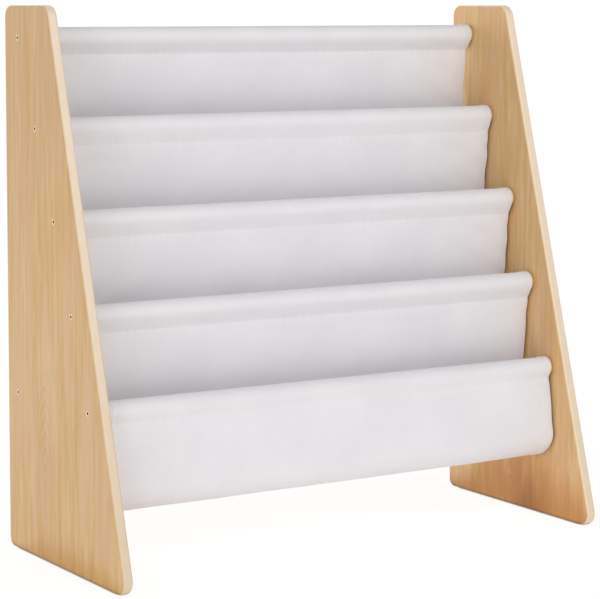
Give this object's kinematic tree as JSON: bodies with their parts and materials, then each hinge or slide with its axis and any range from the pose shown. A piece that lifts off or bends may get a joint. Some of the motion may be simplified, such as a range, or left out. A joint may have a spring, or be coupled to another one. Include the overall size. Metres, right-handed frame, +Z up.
{
  "type": "sling bookshelf",
  "caption": "Free-standing child's sling bookshelf: slanted wooden side panels joined by round rods, with a white canvas sling hung over the rods as stepped book pockets.",
  "frame": {"origin": "on the floor, at the middle of the footprint of the two side panels", "axes": "+X along the rods to the right as seen from the front, +Y from the low front to the back edge, +Z up"},
  "size_m": [0.62, 0.273, 0.603],
  "materials": {
    "panel_wood": "pale maple with a satin clear lacquer, upright grain",
    "rod_wood": "plain turned dowel, fine grain along its length",
    "canvas": "white plain-woven canvas with stitched seams and hems",
    "screw_metal": "zinc-plated steel, satin"
  },
  "bodies": {
    "root": {"side_panel_left": "panel_wood", "side_panel_right": "panel_wood", "sling_rod_1": "rod_wood", "sling_rod_2": "rod_wood", "sling_rod_3": "rod_wood", "sling_rod_4": "rod_wood", "sling_rod_5": "rod_wood", "lower_back_rod": "rod_wood", "sling_pocket_1": "canvas", "sling_pocket_2": "canvas", "sling_pocket_3": "canvas", "sling_pocket_4": "canvas", "screw_left_1": "screw_metal", "screw_left_2": "screw_metal", "screw_left_3": "screw_metal", "screw_left_4": "screw_metal", "screw_left_5": "screw_metal", "screw_left_6": "screw_metal", "screw_right_1": "screw_metal", "screw_right_2": "screw_metal", "screw_right_3": "screw_metal", "screw_right_4": "screw_metal", "screw_right_5": "screw_metal", "screw_right_6": "screw_metal"}
  },
  "joints": []
}
